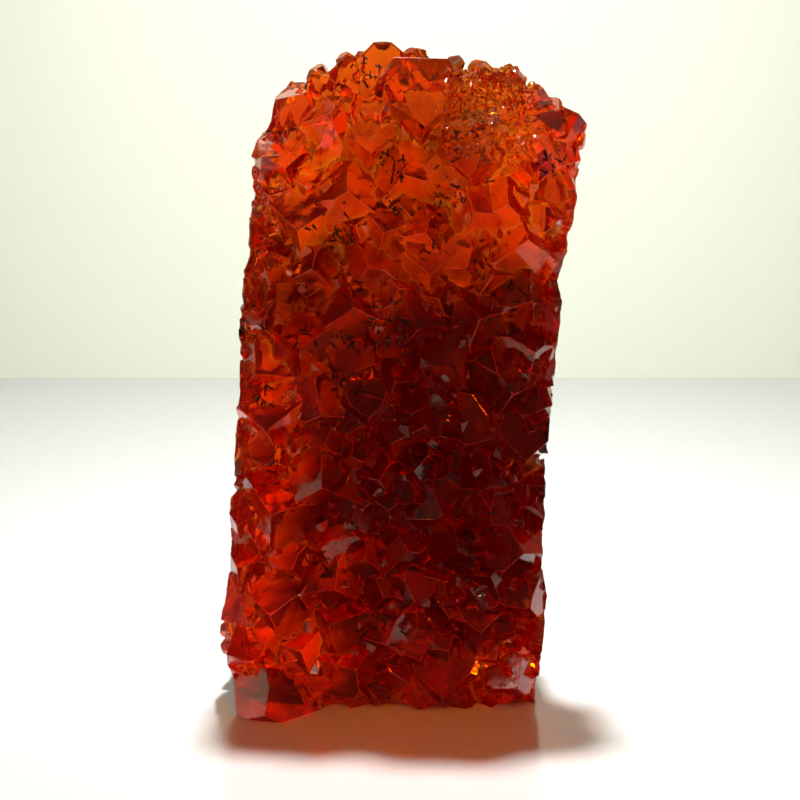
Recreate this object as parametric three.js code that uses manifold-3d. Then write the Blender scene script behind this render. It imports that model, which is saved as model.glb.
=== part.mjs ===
// A free-standing citrine cluster, in millimetres, +Z up, its crystal face towards -Y.
// It grew as one mass: a slab of quartz, thick at the foot and thinner at the crown, whose front
// and arched crown are covered with stout six-sided points. The flanks are broken nearly flat,
// the back is a lumpy fracture, and the foot is sawn flat so that the piece stands.
import * as THREE from 'three';
import { mergeVertices } from 'three/addons/utils/BufferGeometryUtils.js';
import Module from 'manifold-3d';

const wasm = await Module();
wasm.setup();
const { Manifold } = wasm;

// ---- Driving sizes ----
const HEIGHT = 105; // sawn foot to the highest point
const BODY_CROWN = 95; // top of the mass that the crown's points grow from
const SHOULDER_DROP = 10; // how much lower that mass is at its two shoulders

// Each line gives sizes up the piece as [height, size].
const LEFT_FLANK = [
  [0, -26], [9, -29.5], [18, -28.3], [30, -27.3], [48, -26.3], [66, -25.2], [86, -23.6], [105, -21],
];
const RIGHT_FLANK = [
  [0, 22], [17, 23.8], [31, 23], [50, 24], [65, 25.4], [75, 26.2], [85, 28.2], [105, 29.2],
];
const FRONT_OF_MASS = [[0, -9.5], [25, -10], [60, -7], [85, -4.5], [105, -1]];
const BACK_OF_MASS = [[0, 18.5], [35, 18.5], [65, 16], [88, 12], [105, 9]];
// The crest is where the tips of the front points lie.
const CREST = [[0, -13], [8, -15], [25, -15.5], [60, -12.5], [85, -10], [97, -6], [105, -1]];

const FRONT_ROUNDING = 3; // how far the front falls back at the flanks
const BACK_ROUNDING = 8; // how far the back comes forward at the flanks
const ROUNDING_POWER = 3;

const FLANK_SETBACK = 0.9; // the mass lies this far inside the outermost points
const MASS_COLUMNS = 10;
const MASS_ROWS = 18;
const LUMP_HEIGHT = 2.4; // swellings and pits of the back
const LUMP_REACH = [4, 11];
const LUMP_COUNT = 36;
const LUMP_SPREAD = 56; // width that they are spread over
const HACKLE = 0.65; // sharp unevenness of the fracture

// Quartz: the faces of a point lean 51.8 degrees from the plane across its axis.
const FACE_LEAN = THREE.MathUtils.degToRad(51.8);
const FACE_UNEVENNESS = 0.16; // faces sit off centre by up to this part of the radius
const NARROW_SETBACK = 0.55; // a fully narrow face stands back by this part of the radius
const NARROW_RANGE = [0.6, 1]; // how narrow every other face is, where a point doesn't say
const LARGE_GIRTH = 1.24; // the large points overlap their neighbours by this much
const POINT_DEPTH = 13; // length of a crystal from its tip into the mass
const SMALLEST_EDGE = 0.15;

const SEED = 20411;

// ---- The large points, placed one by one ----
// x, z: the tip; r: radius across the corners; lean: tilt of the axis to the right and upwards as
// slopes; out: how far the tip stands proud of its neighbours; twist: degrees about the axis;
// narrow: from 0, six equal faces, to 1, three broad faces with three narrow ones between them.
const LARGE_POINTS = [
  // Crown, pointing up
  { x: -3.2, z: 106.4, r: 4.4, lean: [-0.1, 2.2], out: 0.6, twist: 30 },
  { x: 3, z: 103.7, r: 3.7, lean: [0.2, 1.7], out: 0.4, twist: 28 },
  { x: -8.8, z: 103, r: 3.4, lean: [-0.3, 1.7], out: 0.3, twist: 34 },
  { x: -13.4, z: 100.8, r: 2.9, lean: [-0.6, 1.4], out: 0, twist: 50 },
  { x: -19.4, z: 96.2, r: 3.4, lean: [-1.1, 0.6], out: 0, twist: 92 },
  { x: 8.6, z: 102.2, r: 2.6, lean: [0.3, 2], out: -0.5, twist: 0 },
  { x: 13.2, z: 101.9, r: 2.6, lean: [0.3, 1.8], out: -0.5, twist: 35 },
  { x: 17.4, z: 100.9, r: 2.5, lean: [0.5, 1.6], out: -0.4, twist: 75 },
  { x: 21.6, z: 98.2, r: 2.5, lean: [0.7, 1.4], out: 0, twist: 15 },
  { x: 27.6, z: 94.4, r: 3.4, lean: [0.9, 0.9], out: 0, twist: 50 },
  // Upper front
  { x: -10.2, z: 95, r: 7.4, lean: [0.05, 0.4], out: 1.8, twist: 30, narrow: 0.1 },
  { x: 3.2, z: 92.2, r: 6.8, lean: [0.08, -0.5], out: 2, twist: 88, narrow: 0.5 },
  { x: 10.6, z: 84.8, r: 5.2, lean: [-0.1, -0.6], out: 1.6, twist: 94, narrow: 0.4 },
  { x: 23.6, z: 94.6, r: 5.2, lean: [0.55, 0.75], out: 0.6, twist: 112 },
  { x: 24.2, z: 86.2, r: 4.4, lean: [0.3, -0.25], out: 0.4, twist: 60 },
  { x: 17.6, z: 89.2, r: 3, lean: [0.1, 0.1], out: 0.2, twist: 20 },
  { x: -21.2, z: 87.6, r: 3.6, lean: [-0.45, 0.2], out: 0.2, twist: 70 },
  { x: -17.6, z: 86, r: 3.2, lean: [-0.1, -0.15], out: 0.2, twist: 100 },
  { x: 0.6, z: 85.6, r: 4.8, lean: [-0.05, 0.12], out: 0.4, twist: 45 },
  { x: 7.4, z: 84.2, r: 3.2, lean: [0.2, -0.1], out: 0, twist: 15 },
  { x: -7.8, z: 83, r: 5, lean: [0.05, 0.25], out: 1.2, twist: 28 },
  { x: -15.8, z: 76.6, r: 5.6, lean: [-0.1, -0.22], out: 1.4, twist: 88 },
  { x: 10.8, z: 79.6, r: 5, lean: [-0.2, 0.1], out: 1, twist: 55 },
  { x: 16, z: 81, r: 4.2, lean: [0.15, 0.2], out: 0.3, twist: 25 },
  { x: 19.8, z: 75.6, r: 5.6, lean: [0.2, 0.3], out: 1, twist: 33 },
  { x: -2.8, z: 76.6, r: 3.2, lean: [0, -0.1], out: 0.4, twist: 75 },
  { x: 3.8, z: 76.8, r: 4.4, lean: [0.1, 0.2], out: 0.4, twist: 10 },
  { x: 4.6, z: 70.8, r: 4.2, lean: [0, -0.25], out: 0.7, twist: 90 },
  { x: -5.2, z: 71, r: 4.2, lean: [-0.1, 0.1], out: 0.6, twist: 50 },
  { x: 9.6, z: 71.6, r: 3.6, lean: [0.12, -0.1], out: 0.3, twist: 5 },
  // Middle
  { x: -14.2, z: 71, r: 4.2, lean: [0, 0.3], out: 0, twist: 20 },
  { x: -20.4, z: 68.6, r: 4.6, lean: [-0.25, 0.12], out: 0.6, twist: 62 },
  { x: -7.6, z: 64.8, r: 6.4, lean: [0.1, 0.2], out: 0.6, twist: 35 },
  { x: -15.2, z: 60, r: 7.2, lean: [-0.05, 0.08], out: 1.8, twist: 92 },
  { x: -21.8, z: 62.6, r: 4.6, lean: [-0.35, 0.1], out: 0.4, twist: 10 },
  { x: -22.4, z: 54.6, r: 4.6, lean: [-0.35, -0.15], out: 0.3, twist: 45 },
  { x: 12.2, z: 63.6, r: 5.4, lean: [0.05, 0.1], out: 0.4, twist: 72 },
  { x: 19.4, z: 66.6, r: 4.8, lean: [0.3, 0.05], out: 0.5, twist: 22 },
  { x: 2.4, z: 62, r: 4.8, lean: [0.05, -0.15], out: 0.3, twist: 58 },
  { x: 20.6, z: 58.4, r: 4.6, lean: [0.25, 0.15], out: 0.4, twist: 85 },
  { x: -12, z: 48.6, r: 4.8, lean: [0.12, -0.2], out: 0.8, twist: 40 },
  { x: -5.2, z: 48.4, r: 3.8, lean: [0, -0.3], out: 0.6, twist: 95 },
  { x: 4.4, z: 50.4, r: 6, lean: [0.05, 0.18], out: 0.4, twist: 25 },
  { x: 17.6, z: 51.8, r: 6.2, lean: [0.18, -0.1], out: 1.1, twist: 68 },
  { x: 23.2, z: 49.6, r: 3.4, lean: [0.6, 0], out: 0.2, twist: 30 },
  { x: -21.6, z: 46.2, r: 6.4, lean: [-0.3, -0.05], out: 1, twist: 100 },
  { x: -12.4, z: 37.4, r: 6.8, lean: [0, 0.12], out: 1.4, twist: 32 },
  { x: 19.4, z: 41.4, r: 5, lean: [0.2, -0.28], out: 1, twist: 82 },
  { x: 7, z: 39.6, r: 4.8, lean: [-0.1, 0.1], out: 0.2, twist: 15 },
  // Foot
  { x: -20.6, z: 33, r: 6.9, lean: [-0.22, 0.08], out: 1.9, twist: 78 },
  { x: 19, z: 27, r: 5.4, lean: [0.25, 0.12], out: 0.8, twist: 50 },
  { x: -20.4, z: 17.4, r: 6, lean: [-0.22, -0.05], out: 1.4, twist: 95 },
  { x: -10.8, z: 21.6, r: 4.6, lean: [0.05, -0.1], out: 0.6, twist: 20 },
  { x: 1.8, z: 19.2, r: 3.6, lean: [0.1, -0.2], out: 0.5, twist: 60 },
  { x: 8.6, z: 27.4, r: 3.8, lean: [0, 0.15], out: 0.5, twist: 35 },
  { x: -2.6, z: 12.6, r: 4.2, lean: [-0.15, -0.15], out: 0.5, twist: 5 },
  { x: 12.4, z: 13.6, r: 4.2, lean: [0.15, 0], out: 0.7, twist: 88 },
  { x: -28, z: 9.6, r: 3.6, lean: [-1, 0.05], out: 0, twist: 45 },
  { x: -21.8, z: 1, r: 6.4, lean: [-0.12, 0.05], out: 7, twist: 25 },
  { x: -14.2, z: 3, r: 4.2, lean: [0.1, -0.15], out: 0.4, twist: 70 },
  { x: 6.8, z: 3.4, r: 5.4, lean: [0, -0.35], out: 1.4, twist: 92 },
  { x: 18.2, z: 4.2, r: 4, lean: [0.25, -0.1], out: 0.6, twist: 12 },
];

// ---- The smaller points, which fill the gaps between the large ones ----
// radius: their sizes; spacing: how near another tip may be, as a part of the two radii together;
// zone: where they grow.
const FINE_ZONE_TOP = 46; // the lower middle is closely set with fine points
const FINE_ZONE_WIDTH = 0.72;
const DRUSE = { x: [7, 20], z: [89, 99] }; // a patch of fine points below the crown
const anywhere = () => true;
const inFineZone = (x, z) => z < FINE_ZONE_TOP && Math.abs(acrossAt(x, z)) < FINE_ZONE_WIDTH;
const byFlank = (x, z) => Math.abs(acrossAt(x, z)) > 0.82;
const inDruse = (x, z) => x > DRUSE.x[0] && x < DRUSE.x[1] && z > DRUSE.z[0] && z < DRUSE.z[1];
const FILL_PASSES = [
  { radius: [1.9, 2.3], spacing: 0.56, tries: 400, zone: inDruse },
  { radius: [5, 6.2], spacing: 0.56, tries: 900, zone: anywhere },
  { radius: [3.8, 4.9], spacing: 0.52, tries: 1200, zone: anywhere },
  { radius: [3, 3.9], spacing: 0.5, tries: 600, zone: byFlank },
  { radius: [2.6, 3.4], spacing: 0.5, tries: 700, zone: inFineZone },
];
const FILL_REACH = 1.03; // they are set out to just past the flanks
const FILL_OVER_CROWN = 3;
const FILL_LEAN = 0.36;
const FILL_LEAN_OUT = 0.25; // extra slope outwards at the flanks
const FILL_SUNK = 0.8; // small tips lie this far below the crest, by up to this much more

// ---- The points over the top of the crown ----
const CROWN_ROWS = [-3.5, 2, 7]; // rows from front to back
const CROWN_STEP = 6;
const CROWN_INSET = 1.5; // the end points stand this far inside the flanks
const CROWN_JITTER = 0.06;
const CROWN_RADIUS = [2.6, 4.4];
const CROWN_STAND = [4, 6.5]; // tips above the mass
const CROWN_FALL = 0.25; // drop for each millimetre behind the middle
const CROWN_LEAN_BACK = 0.1; // slope to the back for each millimetre behind the middle
const CROWN_LEAN_OUT = 0.9;
const CROWN_SWAY = 0.3;
const CROWN_NARROW = 0.6;

// ---- Shell-shaped breaks of the back and flanks ----
// facing: 0 to the back, 90 to the left flank, -90 to the right; x, z and y: where, with y on the
// back's own surface when it is left out; ball: radius of the hollow; bite: its depth; tilt:
// upwards slope.
const SCOOP_FACET = 7.5; // about the length of the hollows' facets
const SCOOPS = [
  { facing: 5, x: -8, z: 85, ball: 40, bite: 3, tilt: 0.22 },
  { facing: -10, x: 15, z: 78, ball: 34, bite: 2.8, tilt: 0.1 },
  { facing: 13, x: -14, z: 64, ball: 35, bite: 2.8, tilt: 0.05 },
  { facing: -6, x: 9, z: 57, ball: 44, bite: 2.8, tilt: -0.06 },
  { facing: 16, x: -16, z: 43, ball: 33, bite: 2.8, tilt: 0.12 },
  { facing: -15, x: 15, z: 37, ball: 36, bite: 2.8, tilt: 0.04 },
  { facing: 3, x: -2, z: 27, ball: 42, bite: 2.8, tilt: -0.05 },
  { facing: 14, x: -15, z: 12, ball: 32, bite: 2.6, tilt: -0.15 },
  { facing: -16, x: 14, z: 11, ball: 34, bite: 2.4, tilt: -0.1 },
  { facing: 44, x: -22, z: 76, ball: 24, bite: 2.3, tilt: 0.12 },
  { facing: -42, x: 22, z: 61, ball: 24, bite: 2.2, tilt: 0 },
  { facing: 46, x: -24, z: 54, ball: 21, bite: 2, tilt: -0.12 },
  { facing: -44, x: 24, z: 86, ball: 20, bite: 2, tilt: 0.2 },
  { facing: 42, x: -24, z: 28, ball: 24, bite: 2.2, tilt: 0.1 },
  { facing: -40, x: 20, z: 21, ball: 26, bite: 2.2, tilt: -0.08 },
  { facing: 84, x: -25.4, y: 6, z: 44, ball: 20, bite: 1.7, tilt: -0.1 },
  { facing: 92, x: -24.4, y: 4, z: 70, ball: 17, bite: 1.6, tilt: 0.15 },
  { facing: 88, x: -27, y: 7, z: 20, ball: 18, bite: 1.6, tilt: 0.1 },
  { facing: -86, x: 22.6, y: 7, z: 26, ball: 19, bite: 1.6, tilt: 0.05 },
  { facing: -92, x: 24.2, y: 5, z: 52, ball: 18, bite: 1.6, tilt: -0.1 },
  { facing: -88, x: 26.4, y: 4, z: 76, ball: 16, bite: 1.5, tilt: 0.1 },
];

// ---- Outline of the whole piece seen from the front: x, z ----
// The flanks break along it in small steps. Above the shoulders the points end by themselves.
const OUTLINE = [
  [-26.4, -1], [-27.4, 3.4], [-29.6, 6.6], [-29.8, 11.6], [-28.6, 17], [-27.5, 25], [-27.4, 35],
  [-26.6, 36.4], [-26.4, 48.4], [-25.7, 49.6], [-25.6, 64], [-25, 65.4], [-25, 69.8], [-24.2, 71.4],
  [-23.7, 82], [-23.6, 88], [-22.6, 90.4], [-21, 92], [-19.6, 97], [-14, 103], [-9, HEIGHT + 1],
  [12, HEIGHT + 1], [20, 102], [24, 98.6], [29, 96], [29.4, 93], [28.6, 86], [27.4, 83.4],
  [27.1, 78], [25.8, 73], [24.6, 68.4], [25.3, 65.2], [24.6, 57], [23.2, 44], [22.8, 31],
  [22.5, 23.6], [23.7, 17.4], [23, 11], [22.4, 3], [21.6, -1],
];

// ---- Helpers ----
function makeRandom(seed) {
  let state = seed;
  return () => {
    state = (state + 0x6d2b79f5) | 0;
    let mixed = Math.imul(state ^ (state >>> 15), 1 | state);
    mixed = (mixed + Math.imul(mixed ^ (mixed >>> 7), 61 | mixed)) ^ mixed;
    return ((mixed ^ (mixed >>> 14)) >>> 0) / 4294967296;
  };
}

function sizeAt(line, height) {
  const next = line.findIndex(([z]) => z >= height);
  if (next === 0) return line[0][1];
  if (next < 0) return line[line.length - 1][1];
  const [[z0, a], [z1, b]] = [line[next - 1], line[next]];
  return THREE.MathUtils.mapLinear(height, z0, z1, a, b);
}

// 0 at the middle of the piece, -1 and 1 at its flanks.
function acrossAt(x, z) {
  const left = sizeAt(LEFT_FLANK, z);
  const right = sizeAt(RIGHT_FLANK, z);
  return THREE.MathUtils.mapLinear(x, left, right, -1, 1);
}

function acrossToX(across, z, inset = 0) {
  const left = sizeAt(LEFT_FLANK, z) + inset;
  const right = sizeAt(RIGHT_FLANK, z) - inset;
  return THREE.MathUtils.mapLinear(across, -1, 1, left, right);
}

// The height of the mass under the crown's points.
function crownAt(across) {
  return BODY_CROWN - SHOULDER_DROP * Math.abs(across) ** ROUNDING_POWER;
}

function toSolid(geometry) {
  geometry.deleteAttribute('normal');
  geometry.deleteAttribute('uv');
  const merged = mergeVertices(geometry, 1e-4);
  const vertProperties = new Float32Array(merged.attributes.position.array);
  const triVerts = new Uint32Array(merged.index.array);
  return new Manifold(new wasm.Mesh({ numProp: 3, vertProperties, triVerts }));
}

function toGeometry(solid) {
  const mesh = solid.getMesh();
  const corners = new THREE.BufferAttribute(new Float32Array(mesh.vertProperties), 3);
  const triangles = new THREE.BufferAttribute(new Uint32Array(mesh.triVerts), 1);
  return new THREE.BufferGeometry().setAttribute('position', corners).setIndex(triangles);
}

// ---- The mass ----
// Swellings and pits of the back, each a soft round bump.
function makeLumps() {
  const random = makeRandom(SEED + 4);
  return Array.from({ length: LUMP_COUNT }, () => ({
    x: LUMP_SPREAD * (random() - 0.5),
    z: HEIGHT * random(),
    reach: THREE.MathUtils.lerp(LUMP_REACH[0], LUMP_REACH[1], random()),
    height: LUMP_HEIGHT * (2 * random() - 1),
  }));
}

function lumpAt(lumps, x, z) {
  return lumps.reduce((sum, lump) => {
    const distance = Math.hypot(x - lump.x, z - lump.z) / lump.reach;
    return sum + lump.height * Math.exp(-distance * distance);
  }, 0);
}

function makeMass() {
  const random = makeRandom(SEED);
  const lumps = makeLumps();
  const box = new THREE.BoxGeometry(2, 2, 1, MASS_COLUMNS, 4, MASS_ROWS);
  box.deleteAttribute('normal');
  box.deleteAttribute('uv');
  const mass = mergeVertices(box, 1e-4);
  const position = mass.attributes.position;
  for (let i = 0; i < position.count; i += 1) {
    const across = position.getX(i);
    const fore = position.getY(i);
    const level = position.getZ(i) + 0.5;
    const z = level * crownAt(across);
    const x = acrossToX(across, z, FLANK_SETBACK);
    const bulge = Math.abs(across) ** ROUNDING_POWER;
    const front = sizeAt(FRONT_OF_MASS, z) + FRONT_ROUNDING * bulge;
    const back = sizeAt(BACK_OF_MASS, z) - BACK_ROUNDING * bulge + lumpAt(lumps, x, z);
    const rough = fore > -0.9 ? HACKLE : 0;
    const isFoot = level === 0;
    position.setXYZ(
      i,
      x + rough * (random() - 0.5) * 2,
      THREE.MathUtils.mapLinear(fore, -1, 1, front, back) + rough * (random() - 0.5) * 2,
      isFoot ? -1 : z + rough * (random() - 0.5) * 2,
    );
  }
  return toSolid(mass);
}

// Shell-shaped hollows, as quartz breaks: balls cut shallowly into the back and the flanks. Each
// ball is turned differently, so that no two hollows have the same facets.
function makeScoops() {
  const random = makeRandom(SEED + 5);
  return SCOOPS.map(({ facing, x, y, z, ball, bite, tilt }) => {
    const turn = THREE.MathUtils.degToRad(facing);
    const outward = new THREE.Vector3(-Math.sin(turn), Math.cos(turn), tilt).normalize();
    const bulge = Math.abs(acrossAt(x, z)) ** ROUNDING_POWER;
    const surface = new THREE.Vector3(x, y ?? sizeAt(BACK_OF_MASS, z) - BACK_ROUNDING * bulge, z);
    const centre = surface.addScaledVector(outward, ball - bite);
    const geometry = new THREE.IcosahedronGeometry(ball, Math.round(ball / SCOOP_FACET));
    geometry.rotateX(Math.PI * random());
    geometry.translate(centre.x, centre.y, centre.z);
    return toSolid(geometry);
  });
}

// ---- One quartz point, its tip at the origin and its axis along +Z ----
function makePoint(radius, narrow, random) {
  const prism = new THREE.CylinderGeometry(radius, radius, POINT_DEPTH, 6);
  prism.rotateX(Math.PI / 2);
  prism.translate(0, 0, -POINT_DEPTH / 2 + radius / 2);
  let point = toSolid(prism);
  const narrowSetback = narrow * NARROW_SETBACK * radius * Math.cos(FACE_LEAN);
  for (let face = 0; face < 6; face += 1) {
    const turn = (face * Math.PI) / 3;
    const setback = face % 2 ? narrowSetback : 0;
    const uneven = FACE_UNEVENNESS * radius * random();
    const inward = new THREE.Vector3(
      -Math.sin(FACE_LEAN) * Math.cos(turn),
      -Math.sin(FACE_LEAN) * Math.sin(turn),
      -Math.cos(FACE_LEAN),
    );
    point = point.trimByPlane(inward.toArray(), -setback - uneven + (FACE_UNEVENNESS * radius) / 2);
  }
  return point;
}

function placePoint({ tip, axis, radius, twist, narrow, random }) {
  const up = Math.abs(axis.z) > 0.9 ? new THREE.Vector3(0, 1, 0) : new THREE.Vector3(0, 0, 1);
  const side = new THREE.Vector3().crossVectors(up, axis).normalize();
  const over = new THREE.Vector3().crossVectors(axis, side);
  const turn = new THREE.Matrix4().makeBasis(side, over, axis);
  turn.multiply(new THREE.Matrix4().makeRotationZ(THREE.MathUtils.degToRad(twist)));
  turn.setPosition(tip);
  return makePoint(radius, narrow, random).transform(turn.elements);
}

function frontPoint({ x, z, r, lean, out, twist, narrow }, random) {
  const bulge = Math.abs(acrossAt(x, z)) ** ROUNDING_POWER;
  const tip = new THREE.Vector3(x, sizeAt(CREST, z) + FRONT_ROUNDING * bulge - out, z);
  const axis = new THREE.Vector3(lean[0], -1, lean[1]).normalize();
  const setback = narrow ?? THREE.MathUtils.lerp(...NARROW_RANGE, random());
  return placePoint({ tip, axis, radius: r, twist, narrow: setback, random });
}

function isFree(spots, x, z, r, spacing) {
  return spots.every((spot) => Math.hypot(spot.x - x, spot.z - z) > spacing * (spot.r + r));
}

function fillPoints() {
  const random = makeRandom(SEED + 1);
  const spots = LARGE_POINTS.map(({ x, z, r }) => ({ x, z, r }));
  const filled = [];
  for (const { radius, spacing, tries, zone } of FILL_PASSES) {
    for (let attempt = 0; attempt < tries; attempt += 1) {
      const across = FILL_REACH * (2 * random() - 1);
      const z = random() * (crownAt(across) + FILL_OVER_CROWN);
      const x = acrossToX(across, z);
      const r = THREE.MathUtils.lerp(...radius, random());
      if (zone(x, z) && isFree(spots, x, z, r, spacing)) {
        const leanRight = FILL_LEAN * (2 * random() - 1) + FILL_LEAN_OUT * across;
        const lean = [leanRight, FILL_LEAN * (2 * random() - 1)];
        const spot = { x, z, r, lean, out: -FILL_SUNK * (1 + random()), twist: 120 * random() };
        spots.push(spot);
        filled.push(spot);
      }
    }
  }
  return filled;
}

// They lean outwards over the arch and, row by row, down its far side.
function crownPoints() {
  const random = makeRandom(SEED + 2);
  const width = sizeAt(RIGHT_FLANK, BODY_CROWN) - sizeAt(LEFT_FLANK, BODY_CROWN);
  const count = Math.round(width / CROWN_STEP);
  const points = [];
  for (const [row, y] of CROWN_ROWS.entries()) {
    const stagger = 0.5 * (row % 2);
    for (let i = 0; i <= count; i += 1) {
      const place = (2 * (i + stagger)) / count - 1 + CROWN_JITTER * random();
      const across = THREE.MathUtils.clamp(place, -1, 1);
      const stand = THREE.MathUtils.lerp(...CROWN_STAND, random()) - CROWN_FALL * Math.max(y, 0);
      const leanBack = CROWN_LEAN_BACK * y + CROWN_SWAY * (random() - 0.5);
      const leanRight = CROWN_LEAN_OUT * across * Math.abs(across);
      const x = acrossToX(across, BODY_CROWN, CROWN_INSET);
      points.push(placePoint({
        tip: new THREE.Vector3(x, y + random(), crownAt(across) + stand),
        axis: new THREE.Vector3(leanRight, leanBack, 1).normalize(),
        radius: THREE.MathUtils.lerp(...CROWN_RADIUS, random()),
        twist: 120 * random(),
        narrow: CROWN_NARROW,
        random,
      }));
    }
  }
  return points;
}

function makeOutlineBlock() {
  const shape = new THREE.Shape(OUTLINE.map(([x, z]) => new THREE.Vector2(x, z)));
  const block = new THREE.ExtrudeGeometry(shape, { depth: HEIGHT, bevelEnabled: false, curveSegments: 1 });
  block.rotateX(Math.PI / 2);
  block.translate(0, HEIGHT / 2, 0);
  return toSolid(block);
}

// The largest shell is the piece itself; the others are gaps closed in between its points.
function largestOf(shells) {
  return shells.reduce((best, shell) => (shell.volume() > best.volume() ? shell : best));
}

// ---- The cluster ----
function makeCluster() {
  const random = makeRandom(SEED + 3);
  const large = LARGE_POINTS.map((point) => ({ ...point, r: LARGE_GIRTH * point.r }));
  const points = [...large, ...fillPoints()].map((point) => frontPoint(point, random));
  const mass = Manifold.difference([makeMass(), ...makeScoops()]);
  const grown = Manifold.union([mass, ...points, ...crownPoints()]);
  const broken = grown.intersect(makeOutlineBlock());
  const sawn = broken.trimByPlane([0, 0, 1], 0).trimByPlane([0, 0, -1], -HEIGHT);
  const tidy = largestOf(sawn.simplify(SMALLEST_EDGE).decompose());
  const bounds = tidy.boundingBox();
  const middleX = (bounds.min[0] + bounds.max[0]) / 2;
  const middleY = (bounds.min[1] + bounds.max[1]) / 2;
  return toGeometry(tidy.translate([-middleX, -middleY, 0]));
}

const citrine = new THREE.MeshStandardMaterial({ color: 0xa3260a, roughness: 0.12, metalness: 0 });
const cluster = new THREE.Mesh(makeCluster(), citrine);
cluster.name = 'citrine_cluster';

const piece = new THREE.Group();
piece.add(cluster);

export default piece;
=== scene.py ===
"""A free-standing citrine cluster: its crystals, its broken flanks and back, and its sawn foot.

The piece is one solid of clear red-orange quartz. Its points are made here again at their places in
the frame, with softened ridges, and finer points are added in the gaps between them and in a few
patches. All are joined with the frame's own mass. A few faces are chipped, and the flanks and the
back get their rough fracture. Short dark needles lie on the crystal faces as one small mesh.
Shapes are worked out in millimetres and brought to metres at the end.
"""

import math

import bmesh
import bpy
from mathutils import Matrix, Quaternion, Vector, noise
from mathutils.bvhtree import BVHTree


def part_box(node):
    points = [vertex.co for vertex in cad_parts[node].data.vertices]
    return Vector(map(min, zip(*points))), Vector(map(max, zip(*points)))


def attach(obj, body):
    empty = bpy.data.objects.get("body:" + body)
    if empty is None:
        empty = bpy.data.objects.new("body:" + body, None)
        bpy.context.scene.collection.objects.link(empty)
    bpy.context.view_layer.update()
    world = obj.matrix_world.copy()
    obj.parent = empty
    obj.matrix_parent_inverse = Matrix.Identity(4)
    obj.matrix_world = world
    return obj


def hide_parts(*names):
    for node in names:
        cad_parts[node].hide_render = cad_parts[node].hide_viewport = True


MM = 0.001
NODE = "citrine_cluster"

# ---- Driving sizes of the piece, in millimetres ----
BODY_CROWN = 95  # top of the mass under the crown's points
SHOULDER_DROP = 10
ROUNDING_POWER = 3
CENTRED = Vector((0.266, -0.077, 0))  # the move that brings the piece's box to the middle

# Each line gives sizes up the piece as (height, size).
LEFT_FLANK = (
    (0, -26), (9, -29.5), (18, -28.3), (30, -27.3), (48, -26.3), (66, -25.2), (86, -23.6), (105, -21),
)
RIGHT_FLANK = (
    (0, 22), (17, 23.8), (31, 23), (50, 24), (65, 25.4), (75, 26.2), (85, 28.2), (105, 29.2),
)
FRONT_OF_MASS = ((0, -9.5), (25, -10), (60, -7), (85, -4.5), (105, -1))
CREST = ((0, -13), (8, -15), (25, -15.5), (60, -12.5), (85, -10), (97, -6), (105, -1))
FRONT_ROUNDING = 3

# ---- Quartz points ----
FACE_LEAN = math.radians(51.8)  # between a tip face and the plane across the point's axis
FACE_UNEVENNESS = 0.16
NARROW_SETBACK = 0.55
NARROW_RANGE = (0.6, 1)
TWIST_PERIOD = 120  # degrees after which a point of three broad faces looks the same again
LARGE_GIRTH = 1.24
POINT_DEPTH = 13
NEARLY_UPRIGHT = 0.9
SEED = 20411
SKIN = 0.07  # points stand this far proud of the frame's, which their worn ridges then cut back
RIDGE_WEAR = (0.045, 0.11)  # width worn off each side of a ridge
CORNER_MERGE = 1.2  # corners closer than this many of those widths become one

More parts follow.
